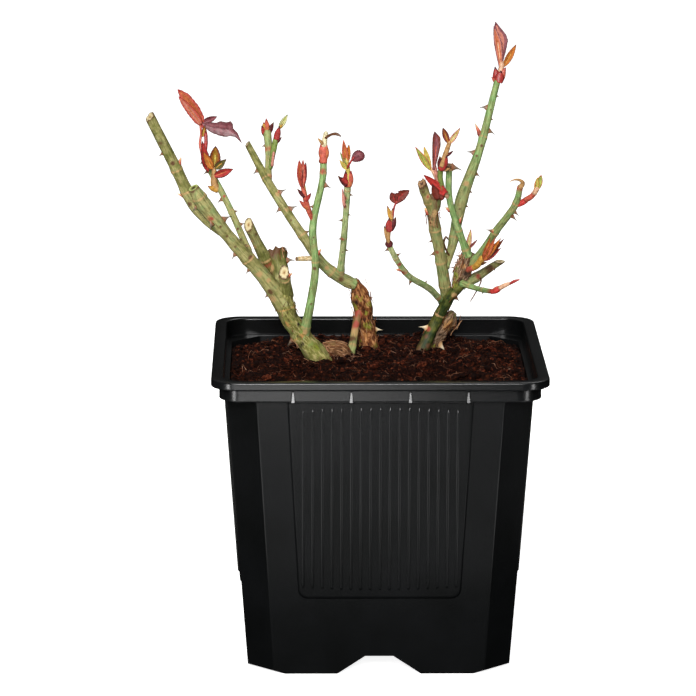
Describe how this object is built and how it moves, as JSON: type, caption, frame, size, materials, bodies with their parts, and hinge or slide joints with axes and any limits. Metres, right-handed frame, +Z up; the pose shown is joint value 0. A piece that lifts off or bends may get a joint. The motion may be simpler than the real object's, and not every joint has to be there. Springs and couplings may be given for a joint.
{
  "type": "potted rose bush",
  "caption": "Young pruned rose bush: thorny green canes with knotty stumps and first red shoots, standing in compost in a square black nursery pot.",
  "frame": {"origin": "centre of the pot's underside, on the small round pad at the height of the four corner feet", "axes": "+Z up, +X to the right and +Y away from whoever faces the pot's front"},
  "size_m": [0.2271, 0.19, 0.3537],
  "materials": {
    "pot_plastic": "satin",
    "compost": "matte",
    "green_bark": "satin",
    "old_bark": "matte",
    "young_growth": "satin"
  },
  "bodies": {
    "root": {"pot": "pot_plastic", "compost": "compost", "left_stem": "green_bark", "graft_burl": "old_bark", "left_stump": "old_bark", "left_stump_stub": "green_bark", "left_cut_stub": "green_bark", "left_cane": "green_bark", "left_top_cane": "green_bark", "left_side_cane": "green_bark", "left_leaf_shoot": "young_growth", "left_tip_leaves": "young_growth", "slim_cane": "green_bark", "slim_spur": "old_bark", "slim_cane_tip": "young_growth", "red_shoot": "young_growth", "middle_leg": "green_bark", "middle_stump": "old_bark", "middle_cane": "green_bark", "middle_fork_cane": "green_bark", "middle_fork_tip": "young_growth", "middle_fork_shoot": "young_growth", "middle_side_cane": "green_bark", "middle_leaf_tuft": "young_growth", "right_stem": "green_bark", "right_old_stump": "old_bark", "right_cane": "green_bark", "right_cane_stub": "green_bark", "right_bow_cane": "green_bark", "right_bow_shoot": "young_growth", "right_tall_cane": "green_bark", "right_tall_leaves": "young_growth", "right_knuckle": "old_bark", "right_cut_stub": "green_bark", "right_slim_cane": "green_bark", "right_leaf_shoot": "young_growth", "right_sprig": "young_growth", "right_curved_cane": "green_bark", "right_hook_tip": "young_growth", "right_curved_shoot": "young_growth", "right_orange_leaves": "young_growth", "right_low_shoot": "green_bark", "right_low_tip": "young_growth"}
  },
  "joints": []
}
